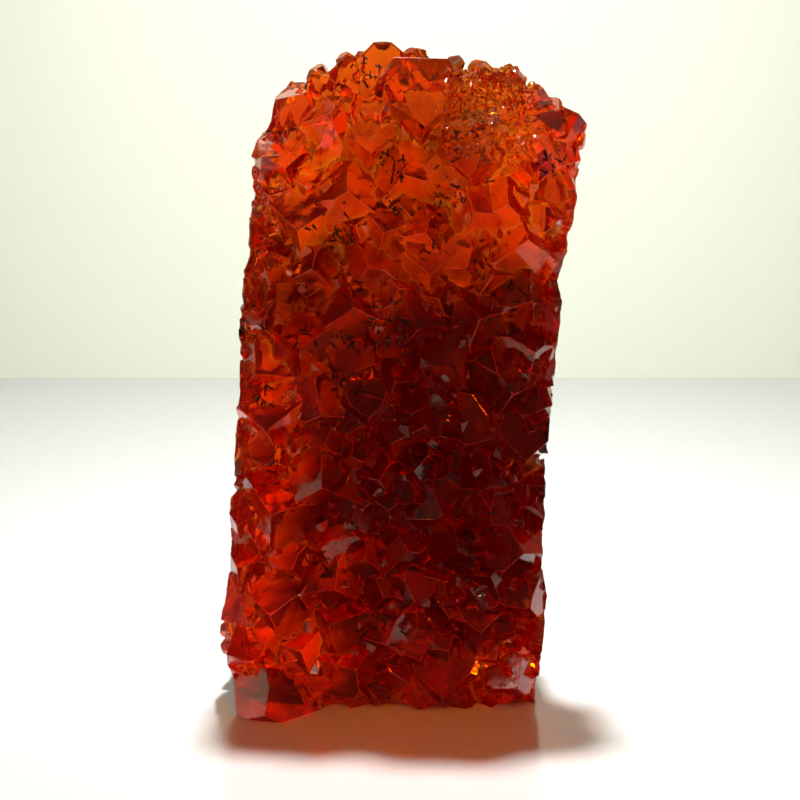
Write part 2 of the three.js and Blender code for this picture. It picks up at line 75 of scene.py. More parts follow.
# x, z: the tip; r: radius across the corners; lean: slopes of the axis to the right and upwards;
# out: how far the tip stands proud; twist: degrees about the axis; narrow: from 0, six equal faces,
# to 1, three broad faces with three narrow ones between them.
LARGE_POINTS = (
    # Crown, pointing up
    dict(x=-3.2, z=106.4, r=4.4, lean=(-0.1, 2.2), out=0.6, twist=30),
    dict(x=3, z=103.7, r=3.7, lean=(0.2, 1.7), out=0.4, twist=28),
    dict(x=-8.8, z=103, r=3.4, lean=(-0.3, 1.7), out=0.3, twist=34),
    dict(x=-13.4, z=100.8, r=2.9, lean=(-0.6, 1.4), out=0, twist=50),
    dict(x=-19.4, z=96.2, r=3.4, lean=(-1.1, 0.6), out=0, twist=92),
    dict(x=8.6, z=102.2, r=2.6, lean=(0.3, 2), out=-0.5, twist=0),
    dict(x=13.2, z=101.9, r=2.6, lean=(0.3, 1.8), out=-0.5, twist=35),
    dict(x=17.4, z=100.9, r=2.5, lean=(0.5, 1.6), out=-0.4, twist=75),
    dict(x=21.6, z=98.2, r=2.5, lean=(0.7, 1.4), out=0, twist=15),
    dict(x=27.6, z=94.4, r=3.4, lean=(0.9, 0.9), out=0, twist=50),
    # Upper front
    dict(x=-10.2, z=95, r=7.4, lean=(0.05, 0.4), out=1.8, twist=30, narrow=0.1),
    dict(x=3.2, z=92.2, r=6.8, lean=(0.08, -0.5), out=2, twist=88, narrow=0.5),
    dict(x=10.6, z=84.8, r=5.2, lean=(-0.1, -0.6), out=1.6, twist=94, narrow=0.4),
    dict(x=23.6, z=94.6, r=5.2, lean=(0.55, 0.75), out=0.6, twist=112),
    dict(x=24.2, z=86.2, r=4.4, lean=(0.3, -0.25), out=0.4, twist=60),
    dict(x=17.6, z=89.2, r=3, lean=(0.1, 0.1), out=0.2, twist=20),
    dict(x=-21.2, z=87.6, r=3.6, lean=(-0.45, 0.2), out=0.2, twist=70),
    dict(x=-17.6, z=86, r=3.2, lean=(-0.1, -0.15), out=0.2, twist=100),
    dict(x=0.6, z=85.6, r=4.8, lean=(-0.05, 0.12), out=0.4, twist=45),
    dict(x=7.4, z=84.2, r=3.2, lean=(0.2, -0.1), out=0, twist=15),
    dict(x=-7.8, z=83, r=5, lean=(0.05, 0.25), out=1.2, twist=28),
    dict(x=-15.8, z=76.6, r=5.6, lean=(-0.1, -0.22), out=1.4, twist=88),
    dict(x=10.8, z=79.6, r=5, lean=(-0.2, 0.1), out=1, twist=55),
    dict(x=16, z=81, r=4.2, lean=(0.15, 0.2), out=0.3, twist=25),
    dict(x=19.8, z=75.6, r=5.6, lean=(0.2, 0.3), out=1, twist=33),
    dict(x=-2.8, z=76.6, r=3.2, lean=(0, -0.1), out=0.4, twist=75),
    dict(x=3.8, z=76.8, r=4.4, lean=(0.1, 0.2), out=0.4, twist=10),
    dict(x=4.6, z=70.8, r=4.2, lean=(0, -0.25), out=0.7, twist=90),
    dict(x=-5.2, z=71, r=4.2, lean=(-0.1, 0.1), out=0.6, twist=50),
    dict(x=9.6, z=71.6, r=3.6, lean=(0.12, -0.1), out=0.3, twist=5),
    # Middle
    dict(x=-14.2, z=71, r=4.2, lean=(0, 0.3), out=0, twist=20),
    dict(x=-20.4, z=68.6, r=4.6, lean=(-0.25, 0.12), out=0.6, twist=62),
    dict(x=-7.6, z=64.8, r=6.4, lean=(0.1, 0.2), out=0.6, twist=35),
    dict(x=-15.2, z=60, r=7.2, lean=(-0.05, 0.08), out=1.8, twist=92),
    dict(x=-21.8, z=62.6, r=4.6, lean=(-0.35, 0.1), out=0.4, twist=10),
    dict(x=-22.4, z=54.6, r=4.6, lean=(-0.35, -0.15), out=0.3, twist=45),
    dict(x=12.2, z=63.6, r=5.4, lean=(0.05, 0.1), out=0.4, twist=72),
    dict(x=19.4, z=66.6, r=4.8, lean=(0.3, 0.05), out=0.5, twist=22),
    dict(x=2.4, z=62, r=4.8, lean=(0.05, -0.15), out=0.3, twist=58),
    dict(x=20.6, z=58.4, r=4.6, lean=(0.25, 0.15), out=0.4, twist=85),
    dict(x=-12, z=48.6, r=4.8, lean=(0.12, -0.2), out=0.8, twist=40),
    dict(x=-5.2, z=48.4, r=3.8, lean=(0, -0.3), out=0.6, twist=95),
    dict(x=4.4, z=50.4, r=6, lean=(0.05, 0.18), out=0.4, twist=25),
    dict(x=17.6, z=51.8, r=6.2, lean=(0.18, -0.1), out=1.1, twist=68),
    dict(x=23.2, z=49.6, r=3.4, lean=(0.6, 0), out=0.2, twist=30),
    dict(x=-21.6, z=46.2, r=6.4, lean=(-0.3, -0.05), out=1, twist=100),
    dict(x=-12.4, z=37.4, r=6.8, lean=(0, 0.12), out=1.4, twist=32),
    dict(x=19.4, z=41.4, r=5, lean=(0.2, -0.28), out=1, twist=82),
    dict(x=7, z=39.6, r=4.8, lean=(-0.1, 0.1), out=0.2, twist=15),
    # Foot
    dict(x=-20.6, z=33, r=6.9, lean=(-0.22, 0.08), out=1.9, twist=78),
    dict(x=19, z=27, r=5.4, lean=(0.25, 0.12), out=0.8, twist=50),
    dict(x=-20.4, z=17.4, r=6, lean=(-0.22, -0.05), out=1.4, twist=95),
    dict(x=-10.8, z=21.6, r=4.6, lean=(0.05, -0.1), out=0.6, twist=20),
    dict(x=1.8, z=19.2, r=3.6, lean=(0.1, -0.2), out=0.5, twist=60),
    dict(x=8.6, z=27.4, r=3.8, lean=(0, 0.15), out=0.5, twist=35),
    dict(x=-2.6, z=12.6, r=4.2, lean=(-0.15, -0.15), out=0.5, twist=5),
    dict(x=12.4, z=13.6, r=4.2, lean=(0.15, 0), out=0.7, twist=88),
    dict(x=-28, z=9.6, r=3.6, lean=(-1, 0.05), out=0, twist=45),
    dict(x=-21.8, z=1, r=6.4, lean=(-0.12, 0.05), out=7, twist=25),
    dict(x=-14.2, z=3, r=4.2, lean=(0.1, -0.15), out=0.4, twist=70),
    dict(x=6.8, z=3.4, r=5.4, lean=(0, -0.35), out=1.4, twist=92),
    dict(x=18.2, z=4.2, r=4, lean=(0.25, -0.1), out=0.6, twist=12),
)

# ---- The smaller points between them ----
FINE_ZONE_TOP = 46
FINE_ZONE_WIDTH = 0.72
FLANK_ZONE = 0.82
DRUSE_X = (7, 20)
DRUSE_Z = (89, 99)
FILL_REACH = 1.03
FILL_OVER_CROWN = 3
FILL_LEAN = 0.36
FILL_LEAN_OUT = 0.25
FILL_SUNK = 0.8

# ---- The points over the top of the crown ----
CROWN_ROWS = (-3.5, 2, 7)
CROWN_STEP = 6
CROWN_INSET = 1.5
CROWN_JITTER = 0.06
CROWN_RADIUS = (2.6, 4.4)
CROWN_STAND = (4, 6.5)
CROWN_FALL = 0.25
CROWN_LEAN_BACK = 0.1
CROWN_LEAN_OUT = 0.9
CROWN_SWAY = 0.3
CROWN_NARROW = 0.6


# ---- Numbers along the piece ----
def make_draw(seed):
    """A seeded source of numbers from 0 to 1, the same one that set out the frame's points."""
    state = seed

    def draw():
        nonlocal state
        state = (state + 0x6D2B79F5) & 0xFFFFFFFF
        mixed = ((state ^ (state >> 15)) * (1 | state)) & 0xFFFFFFFF
        spread = ((mixed ^ (mixed >> 7)) * (61 | mixed)) & 0xFFFFFFFF
        mixed = ((mixed + spread) & 0xFFFFFFFF) ^ mixed
        return (mixed ^ (mixed >> 14)) / 4294967296

    return draw


def blend_between(a, b, share):
    return a + (b - a) * share


def size_at(line, height):
    if height <= line[0][0]:
        return line[0][1]
    for (low, a), (high, b) in zip(line, line[1:]):
        if height <= high:
            return blend_between(a, b, (height - low) / (high - low))
    return line[-1][1]


def across_at(x, z):
    """0 at the middle of the piece, -1 and 1 at its flanks."""
    left, right = size_at(LEFT_FLANK, z), size_at(RIGHT_FLANK, z)
    return 2 * (x - left) / (right - left) - 1


def across_to_x(across, z, inset=0):
    left, right = size_at(LEFT_FLANK, z) + inset, size_at(RIGHT_FLANK, z) - inset
    return blend_between(left, right, (across + 1) / 2)


def crown_at(across):
    return BODY_CROWN - SHOULDER_DROP * abs(across) ** ROUNDING_POWER


# ---- Making quartz points ----
# What is noted on each face: how broken it is, whether it is a worn ridge, its point's own tone.
LAYERS = ("broken", "worn", "grain")
FULLY = 1  # fully broken or fully worn


class Point:
    """One quartz point: where its tip is, how it leans and how it grew."""

    def __init__(self, tip, axis, radius, twist, narrow, faces, depth=POINT_DEPTH):
        self.tip = tip + CENTRED
        self.depth = depth
        self.axis = axis.normalized()
        self.radius = radius
        self.twist = math.radians(twist)
        self.narrow = narrow
        self.faces = faces  # six draws, which set each tip face a little off centre

    def placing(self):
        upright = Vector((0, 1, 0)) if abs(self.axis.z) > NEARLY_UPRIGHT else Vector((0, 0, 1))
        side = upright.cross(self.axis).normalized()
        over = self.axis.cross(side)
        turn = Matrix((side, over, self.axis)).transposed().to_4x4()
        return Matrix.Translation(self.tip) @ turn @ Matrix.Rotation(self.twist, 4, "Z")


def front_point(x, z, r, lean, out, twist, draw, narrow=None):
    bulge = abs(across_at(x, z)) ** ROUNDING_POWER
    tip = Vector((x, size_at(CREST, z) + FRONT_ROUNDING * bulge - out, z))
    setback = blend_between(*NARROW_RANGE, draw()) if narrow is None else narrow
    faces = [draw() for _ in range(6)]
    return Point(tip, Vector((lean[0], -1, lean[1])), r, twist, setback, faces)


def is_free(spots, x, z, r, spacing):
    return all(math.hypot(s["x"] - x, s["z"] - z) > spacing * (s["r"] + r) for s in spots)


def anywhere(x, z):
    return True


def in_fine_zone(x, z):
    return z < FINE_ZONE_TOP and abs(across_at(x, z)) < FINE_ZONE_WIDTH


def by_flank(x, z):
    return abs(across_at(x, z)) > FLANK_ZONE


def in_druse(x, z):
    return DRUSE_X[0] < x < DRUSE_X[1] and DRUSE_Z[0] < z < DRUSE_Z[1]


FILL_PASSES = (
    dict(radius=(1.9, 2.3), spacing=0.56, tries=400, zone=in_druse),
    dict(radius=(5, 6.2), spacing=0.56, tries=900, zone=anywhere),
    dict(radius=(3.8, 4.9), spacing=0.52, tries=1200, zone=anywhere),
    dict(radius=(3, 3.9), spacing=0.5, tries=600, zone=by_flank),
    dict(radius=(2.6, 3.4), spacing=0.5, tries=700, zone=in_fine_zone),
)


def fill_spots():
    """Where the smaller points stand in the gaps between the large ones."""
    draw = make_draw(SEED + 1)
    spots = [dict(x=p["x"], z=p["z"], r=p["r"]) for p in LARGE_POINTS]
    filled = []
    for step in FILL_PASSES:
        for _ in range(step["tries"]):
            across = FILL_REACH * (2 * draw() - 1)
            z = draw() * (crown_at(across) + FILL_OVER_CROWN)
            x = across_to_x(across, z)
            r = blend_between(*step["radius"], draw())
            if not step["zone"](x, z) or not is_free(spots, x, z, r, step["spacing"]):
                continue
            lean_right = FILL_LEAN * (2 * draw() - 1) + FILL_LEAN_OUT * across
            lean = (lean_right, FILL_LEAN * (2 * draw() - 1))
            out = -FILL_SUNK * (1 + draw())
            spot = dict(x=x, z=z, r=r, lean=lean, out=out, twist=TWIST_PERIOD * draw())
            spots.append(spot)
            filled.append(spot)
    return filled


def crown_points():
    """Points that lean outwards over the arch and, row by row, down its far side."""
    draw = make_draw(SEED + 2)
    width = size_at(RIGHT_FLANK, BODY_CROWN) - size_at(LEFT_FLANK, BODY_CROWN)
    count = round(width / CROWN_STEP)
    points = []
    for row, y in enumerate(CROWN_ROWS):
        stagger = 0.5 * (row % 2)
        for i in range(count + 1):
            place = 2 * (i + stagger) / count - 1 + CROWN_JITTER * draw()
            across = min(max(place, -1), 1)
            stand = blend_between(*CROWN_STAND, draw()) - CROWN_FALL * max(y, 0)
            lean_back = CROWN_LEAN_BACK * y + CROWN_SWAY * (draw() - 0.5)
            lean_right = CROWN_LEAN_OUT * across * abs(across)
            x = across_to_x(across, BODY_CROWN, CROWN_INSET)
            tip = Vector((x, y + draw(), crown_at(across) + stand))
            axis = Vector((lean_right, lean_back, 1))
            radius = blend_between(*CROWN_RADIUS, draw())
            twist = TWIST_PERIOD * draw()
            faces = [draw() for _ in range(6)]
            points.append(Point(tip, axis, radius, twist, CROWN_NARROW, faces))
    return points


def all_points():
    draw = make_draw(SEED + 3)
    large = [dict(p, r=LARGE_GIRTH * p["r"]) for p in LARGE_POINTS]
    front = [front_point(draw=draw, **p) for p in large + fill_spots()]
    return front + crown_points()


def grow(point):
    """A six-sided prism, cut at its end by the six faces of its tip."""
    bm = bmesh.new()
    corner_radius = point.radius + SKIN / math.cos(math.pi / 6)
    bmesh.ops.create_cone(
        bm, cap_ends=True, segments=6, radius1=corner_radius, radius2=corner_radius,
        depth=point.depth,
    )
    lift = Matrix.Translation((0, 0, (point.radius - point.depth) / 2))
    # Its first corner stands at 30 degrees, so that each tip face lies above a side face.
    first = min(math.degrees(math.atan2(v.co.y, v.co.x)) % 60 for v in bm.verts)
    turn = Matrix.Rotation(math.radians(30 - first), 4, "Z")
    bmesh.ops.transform(bm, matrix=lift @ turn, verts=bm.verts)
    narrow_setback = point.narrow * NARROW_SETBACK * point.radius * math.cos(FACE_LEAN)
    for face, uneven in enumerate(point.faces):
        azimuth = face * math.pi / 3
        slope = math.sin(FACE_LEAN)
        outward = Vector((slope * math.cos(azimuth), slope * math.sin(azimuth), math.cos(FACE_LEAN)))
        setback = narrow_setback if face % 2 else 0
        stand = setback + (uneven - 0.5) * FACE_UNEVENNESS * point.radius + SKIN
        cut = bmesh.ops.bisect_plane(
            bm, geom=bm.verts[:] + bm.edges[:] + bm.faces[:], plane_co=outward * stand,
            plane_no=outward, clear_outer=True,
        )
        rim = [e for e in cut["geom_cut"] if isinstance(e, bmesh.types.BMEdge)]
        if rim:
            bmesh.ops.contextual_create(bm, geom=rim)
    return bm


def wear_ridges(bm, width, steps):
    """Softens each ridge of a point, and marks the narrow worn faces."""
    bmesh.ops.remove_doubles(bm, verts=bm.verts, dist=CORNER_MERGE * width)
    foot = min(v.co.z for v in bm.verts)
    ridges = [e for e in bm.edges if max(v.co.z for v in e.verts) > foot + width]
    result = bmesh.ops.bevel(
        bm, geom=ridges, offset=width, offset_type="OFFSET", segments=steps, profile=0.5,
        affect="EDGES", material=-1, clamp_overlap=True,
    )
    mark(bm, result["faces"], "worn", FULLY)


# ---- Joining ----
def layer(bm, name):
    return bm.faces.layers.float.get(name) or bm.faces.layers.float.new(name)


def add_layers(bm):
    for name in LAYERS:
        layer(bm, name)


def mark(bm, faces, name, value):
    which = layer(bm, name)
    for face in faces:
        face[which] = value


def to_object(bm, name):
    mesh = bpy.data.meshes.new(name)
    bm.to_mesh(mesh)
    bm.free()
    made = bpy.data.objects.new(name, mesh)
    bpy.context.scene.collection.objects.link(made)
    return made


def discard(made):
    mesh = made.data
    bpy.data.objects.remove(made)
    bpy.data.meshes.remove(mesh)


def combine(target, tool, operation):
    """Joins target with tool, or cuts it, and takes the tool away."""
    step = target.modifiers.new(operation, "BOOLEAN")
    step.operation = operation
    step.solver = "MANIFOLD"
    step.object = tool
    bpy.context.view_layer.update()
    depsgraph = bpy.context.evaluated_depsgraph_get()
    result = bpy.data.meshes.new_from_object(
        target.evaluated_get(depsgraph), preserve_all_data_layers=True, depsgraph=depsgraph,
    )
    target.modifiers.clear()
    before = target.data
    target.data = result
    bpy.data.meshes.remove(before)
    discard(tool)


def extent(bm):
    xs, ys, zs = zip(*(v.co for v in bm.verts))
    return (min(xs), min(ys), min(zs)), (max(xs), max(ys), max(zs))


def overlaps(a, b):
    return all(a[0][i] < b[1][i] and b[0][i] < a[1][i] for i in range(3))


def join_all(target, grown):
    """Joins many small solids to target, in groups whose members lie clear of each other."""
    groups = []
    for bm in grown:
        box = extent(bm)
        for boxes, members in groups:
            if not any(overlaps(box, other) for other in boxes):
                boxes.append(box)
                members.append(bm)
                break
        else:
            groups.append(([box], [bm]))
    for _, members in groups:
        together = bmesh.new()
        add_layers(together)
        for bm in members:
            passing = bpy.data.meshes.new("passing")
            bm.to_mesh(passing)
            bm.free()
            together.from_mesh(passing)
            bpy.data.meshes.remove(passing)
        combine(target, to_object(together, "group"), "UNION")


# ---- The mass behind the points ----
OUTLINE = (
    (-26.4, -1), (-27.4, 3.4), (-29.6, 6.6), (-29.8, 11.6), (-28.6, 17), (-27.5, 25), (-27.4, 35),
    (-26.6, 36.4), (-26.4, 48.4), (-25.7, 49.6), (-25.6, 64), (-25, 65.4), (-25, 69.8), (-24.2, 71.4),
    (-23.7, 82), (-23.6, 88), (-22.6, 90.4), (-21, 92), (-19.6, 97), (-14, 103), (-9, 107),
    (12, 107), (20, 102), (24, 98.6), (29, 96), (29.4, 93), (28.6, 86), (27.4, 83.4),
    (27.1, 78), (25.8, 73), (24.6, 68.4), (25.3, 65.2), (24.6, 57), (23.2, 44), (22.8, 31),
    (22.5, 23.6), (23.7, 17.4), (23, 11), (22.4, 3), (21.6, -1),
)
FAR = 60  # well outside the piece
SAME_PLACE = 1e-6  # corners of the frame's mesh closer than this, in metres, are one
BEHIND_FRONT = 0.8  # the frame's mass is kept from this far behind its own front
UNDER_CROWN = 0.5  # and up to this far above its own top, under the points of the crown
ARCH_STEPS = 10  # straight parts of that top, from the middle to one flank
WALL_STEP = 1.1
WALL_INSET = (0.06, 0.62)  # how deep the broken flanks lie inside the outline
WALL_GRAIN = 3.2  # size of the chips along the broken flanks
WALL_OCTAVES = 3


def prism(corners, place, reach):
    """A block of one section: corners (a, b) are placed by place(a, b) and carried along reach."""
    bm = bmesh.new()
    add_layers(bm)
    rim = [bm.verts.new(place(a, b)) for a, b in corners]
    face = bm.faces.new(rim)
    pushed = bmesh.ops.extrude_face_region(bm, geom=[face])
    moved = [v for v in pushed["geom"] if isinstance(v, bmesh.types.BMVert)]
    bmesh.ops.translate(bm, vec=reach, verts=moved)
    mark(bm, bm.faces, "broken", FULLY)
    bmesh.ops.recalc_face_normals(bm, faces=bm.faces)
    return bm


def mass_from_frame(node):
    """A copy of the frame's solid, without its points: they are grown again with worn ridges."""
    bm = bmesh.new()
    bm.from_mesh(node.data)
    bmesh.ops.remove_doubles(bm, verts=bm.verts, dist=SAME_PLACE)
    bmesh.ops.scale(bm, vec=(1 / MM, 1 / MM, 1 / MM), verts=bm.verts)
    add_layers(bm)
    mark(bm, bm.faces, "broken", FULLY)
    made = to_object(bm, "mass")
    behind = [(y + BEHIND_FRONT, z) for z, y in FRONT_OF_MASS]
    behind = [(behind[0][0], -FAR)] + behind + [(behind[-1][0], 2 * FAR), (FAR, 2 * FAR), (FAR, -FAR)]
    rear = prism(behind, lambda y, z: Vector((-FAR, y, z)) + CENTRED, Vector((2 * FAR, 0, 0)))
    combine(made, to_object(rear, "rear"), "INTERSECT")
    steps = [i / ARCH_STEPS for i in range(-ARCH_STEPS - 1, ARCH_STEPS + 2)]
    arch = [(across_to_x(a, BODY_CROWN), crown_at(a) + UNDER_CROWN) for a in steps]
    arch = [(-FAR, -FAR), (-FAR, arch[0][1])] + arch + [(FAR, arch[-1][1]), (FAR, -FAR)]
    under = prism(arch, lambda x, z: Vector((x, -FAR, z)) + CENTRED, Vector((0, 2 * FAR, 0)))
    combine(made, to_object(under, "under"), "INTERSECT")
    return made


def along(corners, step):
    """The closed outline through corners, with a point about every step."""
    points = []
    for (x0, z0), (x1, z1) in zip(corners, corners[1:] + corners[:1]):
        count = max(1, round(math.hypot(x1 - x0, z1 - z0) / step))
        shares = [i / count for i in range(count)]
        points += [(blend_between(x0, x1, share), blend_between(z0, z1, share)) for share in shares]
    return points


def broken_walls():
    """A block as wide as the piece, its walls chipped, which cuts the points off at the flanks."""
    rim = along(OUTLINE, WALL_STEP)
    bm = bmesh.new()
    add_layers(bm)
    ring = [bm.verts.new(Vector((x, -FAR / 2, z)) + CENTRED) for x, z in rim]
    edges = [bm.edges.new((a, b)) for a, b in zip(ring, ring[1:] + ring[:1])]
    rows = round(FAR / WALL_STEP)
    for _ in range(rows):
        pushed = bmesh.ops.extrude_edge_only(bm, edges=edges)["geom"]
        edges = [e for e in pushed if isinstance(e, bmesh.types.BMEdge) and e.is_boundary]
        moved = {v for e in edges for v in e.verts}
        bmesh.ops.translate(bm, vec=(0, FAR / rows, 0), verts=list(moved))
    bmesh.ops.holes_fill(bm, edges=bm.edges, sides=0)
    bmesh.ops.recalc_face_normals(bm, faces=bm.faces)
    bm.normal_update()
    for v in bm.verts:
        inward = Vector((-v.normal.x, 0, -v.normal.z)).normalized()
        rough = noise.turbulence(v.co / WALL_GRAIN, WALL_OCTAVES, True)
        v.co += inward * blend_between(*WALL_INSET, min(1, rough))
    mark(bm, bm.faces, "broken", FULLY)
    return bm


# ---- Fine points, set in the gaps and in a few closely set patches ----
FINE_SEED = 7
ANY = -9  # a spot however far it lies behind or proud
# side: where they are looked for from; a, b: the patch, as x and z from the front or x and y from
# above; above: the height they start at; sunk: how far at least the spot lies behind what is round
# it, as a part of the radius.
FINE_PATCHES = (
    dict(side="front", a=(-30, 30), b=(0, 103), sunk=0.3, radius=(1.3, 2.1), tries=2600, spacing=0.8),
    dict(side="front", a=(7, 21), b=(88, 101), sunk=ANY, radius=(0.55, 1.25), tries=800, spacing=0.6),
    dict(side="front", a=(-26, -19), b=(71, 84), sunk=ANY, radius=(0.5, 1), tries=160, spacing=0.7),
    dict(side="front", a=(-12, 20), b=(2, 46), sunk=0, radius=(0.8, 1.5), tries=260, spacing=1),
    dict(side="front", a=(-30, 30), b=(0, 103), sunk=0.25, radius=(0.6, 1.1), tries=2600, spacing=0.8),
    dict(side="front", a=(-28, 28), b=(1, 100), sunk=ANY, radius=(0.4, 0.8), tries=50, spacing=3),
    dict(
        side="top", a=(-26, 29), b=(-8, 14), above=91, sunk=0.15, radius=(0.8, 1.7), tries=1300,
        spacing=0.8,
    ),
)
FINE_DEPTH = 2.6  # length of a fine point, as a part of its radius
FINE_STAND = (0.35, 0.95)  # how far its tip stands off what it grew on, as a part of its radius
FINE_LEAN = 0.5
FINE_WEAR = (0.03, 0.07)
ROUND_IT = 6  # places round a spot that its depth is set against


def look_at_piece(side, a, b):
    """Where a ray from one side starts, and which way it runs."""
    if side == "front":
        return Vector((a, -FAR, b)), Vector((0, 1, 0))
    return Vector((a, b, 2 * FAR)), Vector((0, 0, -1))


def how_sunk(tree, side, a, b, radius, depth):
    """How far a spot lies behind the places round it, as a part of the radius."""
    total = 0
    for i in range(ROUND_IT):
        angle = 2 * math.pi * i / ROUND_IT
        start, way = look_at_piece(side, a + radius * math.cos(angle), b + radius * math.sin(angle))
        _, _, _, length = tree.ray_cast(start, way)
        total += depth if length is None else length
    return (depth - total / ROUND_IT) / radius


def surface_of(body):
    surface = bmesh.new()
    surface.from_mesh(body.data)
    tree = BVHTree.FromBMesh(surface)
    surface.free()
    return tree


def fine_points(body):
    """Finer points that grew on what already stands."""
    draw = make_draw(FINE_SEED)
    tree = surface_of(body)
    spots, points = [], []
    for patch in FINE_PATCHES:
        for _ in range(patch["tries"]):
            a, b = blend_between(*patch["a"], draw()), blend_between(*patch["b"], draw())
            radius = blend_between(*patch["radius"], draw())
            sway = Vector((draw() - 0.5, draw() - 0.5, draw() - 0.5))
            stand, twist, narrow = draw(), TWIST_PERIOD * draw(), blend_between(*NARROW_RANGE, draw())
            faces = [draw() for _ in range(6)]
            start, way = look_at_piece(patch["side"], a, b)
            hit, normal, _, depth = tree.ray_cast(start, way)
            if hit is None or hit.z < patch.get("above", 0):
                continue
            if how_sunk(tree, patch["side"], a, b, radius, depth) < patch["sunk"]:
                continue
            if any((hit - at).length < patch["spacing"] * (radius + r) for at, r in spots):
                continue
            axis = (normal - way + 2 * FINE_LEAN * sway).normalized()
            tip = hit + axis * radius * blend_between(*FINE_STAND, stand) - CENTRED
            spots.append((hit, radius))
            points.append(Point(tip, axis, radius, twist, narrow, faces, FINE_DEPTH * radius))
    return points


# ---- The broken surfaces ----
ROUGHENED = 0.5  # faces more broken than this are divided and roughened
SMOOTHED = 0.1  # and those more broken than this are shaded smooth
BREAK_GRID = 1  # longest side of a small face of the fracture
DIVIDING_ROUNDS = 6
SHARP_LEDGE = math.radians(24)  # ledges of the frame's fracture sharper than this stay sharp
EASING_ROUNDS = 6
EASING_SHARE = 0.5
FLAKE_SIZE = 8  # across one flake of the break
FLAKE_STEP = 1.3  # how deep a flake's tilt takes it
FLAKE_WHERE_CALM = 0.35  # the part of that left in a glassy stretch
TILT_KEY = 5  # where in the noise a flake's tilt is read
BLOW_KEY = 9  # and the place of its blow
BLOW_SHIFT = Vector((7, 0, 0))
BLOW_REACH = 2.5  # how far off, in flakes, the blow fell that a flake's arcs spread from
ARC_SPACING = 3.1
ARC_HEIGHT = 0.22
CALM_FIELD = 21  # size of the glassy stretches between the hackly ones
CALM_CONTRAST = 1.6
HACKLE_SIZE = 3.4
HACKLE_HEIGHT = 0.55
HACKLE_OCTAVES = 4
HACKLE_WHERE_CALM = 0.3
FOOT_CLEAR = 0.25  # the sawn foot stays flat up to this height


def is_broken_edge(edge, broken):
    return len(edge.link_faces) == 2 and all(f[broken] > ROUGHENED for f in edge.link_faces)


def drop_flaps(bm):
    """Takes out the faces of no width that a cut leaves folded back on each other."""
    seen = {}
    for face in bm.faces:
        seen.setdefault(frozenset(face.verts), []).append(face)
    flaps = [face for pair in seen.values() if len(pair) == 2 for face in pair]
    bmesh.ops.delete(bm, geom=flaps, context="FACES")


def refine_breaks(bm):
    """Divides the broken faces until their sides are short."""
    broken = layer(bm, "broken")
    for _ in range(DIVIDING_ROUNDS):
        faces = [f for f in bm.faces if f[broken] > ROUGHENED and len(f.verts) > 3]
        bmesh.ops.triangulate(bm, faces=faces)
        long = [e for e in bm.edges if e.calc_length() > BREAK_GRID and is_broken_edge(e, broken)]
        if not long:
            break
        bmesh.ops.subdivide_edges(bm, edges=long, cuts=1)
    drop_flaps(bm)


def break_depth(place):
    """How deep the break goes: tilted flakes, arcs that spread from each blow, and hackle."""
    spot = place / FLAKE_SIZE
    flake = noise.voronoi(spot)[1][0]
    tilt = noise.noise_vector(flake * TILT_KEY)
    blow = flake + BLOW_REACH * noise.noise_vector(flake * BLOW_KEY + BLOW_SHIFT)
    arcs = math.sin(2 * math.pi * (spot - blow).length * FLAKE_SIZE / ARC_SPACING)
    calm = min(1, max(0, CALM_CONTRAST * noise.noise(place / CALM_FIELD) + 0.5))
    rough = 1 - calm
    step = 0.5 + min(0.5, max(-0.5, tilt.dot(spot - flake)))
    hackle = noise.turbulence(place / HACKLE_SIZE, HACKLE_OCTAVES, True)
    flake_depth = FLAKE_STEP * step * (FLAKE_WHERE_CALM + rough)
    arc_depth = ARC_HEIGHT * (0.5 + 0.5 * arcs) * calm
    hackle_depth = HACKLE_HEIGHT * hackle * (HACKLE_WHERE_CALM + rough)
    return flake_depth + arc_depth + hackle_depth


def roughen_breaks(bm):
    """Eases the soft edges of the breaks, then takes each of their corners down by the break's depth."""
    broken = layer(bm, "broken")
    inner = [v for v in bm.verts if v.link_faces and all(f[broken] > ROUGHENED for f in v.link_faces)]
    inner = [v for v in inner if v.co.z > FOOT_CLEAR]
    soft = [v for v in inner if all(e.calc_face_angle(0) < SHARP_LEDGE for e in v.link_edges)]
    for _ in range(EASING_ROUNDS):
        bmesh.ops.smooth_vert(
            bm, verts=soft, factor=EASING_SHARE, use_axis_x=True, use_axis_y=True, use_axis_z=True,
        )
    bm.normal_update()
    moves = [-v.normal * break_depth(v.co) for v in inner]
    for v, move in zip(inner, moves):
        v.co += move


def shade(bm):
    """Crystal faces stay flat, breaks are smooth up to their sharp ledges."""
    broken = layer(bm, "broken")
    for face in bm.faces:
        face.smooth = face[broken] > SMOOTHED
    for edge in bm.edges:
        edge.smooth = edge.calc_face_angle(0) < SHARP_LEDGE


def frame_block(node):
    """The frame's own box, which nothing here may pass."""
    low, high = (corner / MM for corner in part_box(node.name))
    bm = bmesh.new()
    add_layers(bm)
    bmesh.ops.create_cube(bm, size=1)
    bmesh.ops.scale(bm, vec=high - low, verts=bm.verts)
    bmesh.ops.translate(bm, vec=(high + low) / 2, verts=bm.verts)
    mark(bm, bm.faces, "broken", FULLY)
    return bm


